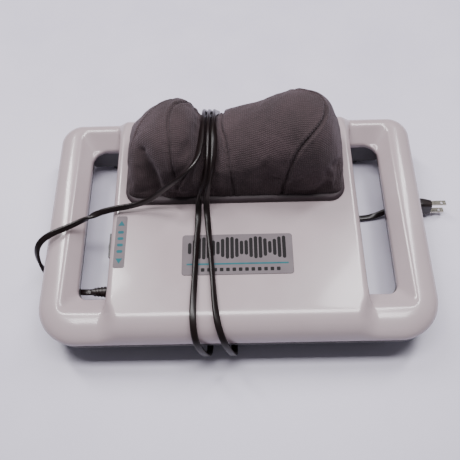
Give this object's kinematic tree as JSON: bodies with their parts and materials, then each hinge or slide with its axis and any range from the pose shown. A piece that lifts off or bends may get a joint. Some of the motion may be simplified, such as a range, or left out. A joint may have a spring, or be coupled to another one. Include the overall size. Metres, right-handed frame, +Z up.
{
  "type": "shiatsu neck massager",
  "caption": "Table-top kneading massager: glossy two-handled casing, padded fabric cover over two rotating heads, and a wrapped mains lead with plug.",
  "frame": {"origin": "on the table under the middle of the casing, the lead and plug not counted", "axes": "+X to the right across the handles, +Y from the front edge to the rear, +Z up"},
  "size_m": [0.4719, 0.2969, 0.162],
  "materials": {
    "light_grey_plastic": "glossy moulded ABS",
    "dark_grey_plastic": "fine spark texture",
    "black_plastic": "satin",
    "natural_plastic": "natural acetal",
    "disc_plastic": "moulded nylon",
    "foot_rubber": "matt",
    "cord_rubber": "soft PVC, semi-gloss",
    "cover_fabric": "woven polyester, padded",
    "steel": "bright",
    "plated_steel": "zinc plated",
    "bronze": "sintered",
    "motor_iron": "laminated",
    "magnet": "ferrite",
    "board": "phenolic board",
    "component": "sleeved parts",
    "brass_nickel": "nickel plated",
    "label_grey": "satin foil"
  },
  "bodies": {
    "housing": {"board_components": "component", "board_posts": "dark_grey_plastic", "board_screws": "steel", "bracket_screws": "steel", "circuit_board": "board", "control_strip": "label_grey", "cover_frame": "black_plastic", "cover_frame_screws": "steel", "fabric_cover": "cover_fabric", "housing_screws": "steel", "internal_wires": "cord_rubber", "left_bearing_bracket": "plated_steel", "left_guide_fork": "natural_plastic", "left_shaft_bush": "bronze", "lower_shell": "dark_grey_plastic", "motor_can": "plated_steel", "motor_cradle": "dark_grey_plastic", "motor_end_cap": "black_plastic", "motor_magnets": "magnet", "motor_straps": "plated_steel", "name_plate": "label_grey", "plug_blades": "brass_nickel", "plug_body": "cord_rubber", "power_cord": "cord_rubber", "right_bearing_bracket": "plated_steel", "right_guide_fork": "natural_plastic", "right_shaft_bush": "bronze", "rubber_feet": "foot_rubber", "strain_relief": "cord_rubber", "strap_screws": "steel", "switch_body": "black_plastic", "upper_shell": "light_grey_plastic", "worm_bearing_block": "black_plastic", "worm_bush": "bronze"},
    "drive": {"main_shaft": "steel", "cross_pins": "steel", "shaft_clips": "steel", "worm_wheel": "natural_plastic", "left_inclined_hub": "natural_plastic", "right_inclined_hub": "natural_plastic", "left_disc_washer": "steel", "right_disc_washer": "steel"},
    "left_disc": {"left_massage_disc": "disc_plastic", "left_stay_pin": "steel", "left_disc_bearing": "bronze"},
    "right_disc": {"right_massage_disc": "disc_plastic", "right_stay_pin": "steel", "right_disc_bearing": "bronze"},
    "rotor": {"worm": "steel", "motor_shaft": "steel", "motor_armature": "motor_iron", "cooling_fan": "natural_plastic"},
    "rocker": {"switch_rocker": "black_plastic"}
  },
  "joints": [
    {"name": "shaft_spin", "type": "hinge", "parent": "housing", "child": "drive", "pos_m": [0, 0.07, 0.092], "axis": [1, 0, 0], "continuous": true},
    {"name": "rotor_spin", "type": "hinge", "parent": "housing", "child": "rotor", "pos_m": [0, 0.0745, 0.04924], "axis": [0, 0.9945, 0.1045], "continuous": true},
    {"name": "left_disc_turn", "type": "hinge", "parent": "drive", "child": "left_disc", "pos_m": [-0.064, 0.07, 0.092], "axis": [0.9903, 0, -0.1392], "continuous": true},
    {"name": "right_disc_turn", "type": "hinge", "parent": "drive", "child": "right_disc", "pos_m": [0.064, 0.07, 0.092], "axis": [0.9903, 0, -0.1392], "continuous": true},
    {"name": "switch_rock", "type": "hinge", "parent": "housing", "child": "rocker", "pos_m": [-0.133, -0.029, 0.051], "axis": [0, 0, 1], "range_deg": [-8, 8]}
  ],
  "couplings": [
    {"joint": "rotor_spin", "follows": "shaft_spin", "ratio": -42},
    {"joint": "left_disc_turn", "follows": "shaft_spin", "ratio": -1},
    {"joint": "right_disc_turn", "follows": "shaft_spin", "ratio": -1}
  ]
}
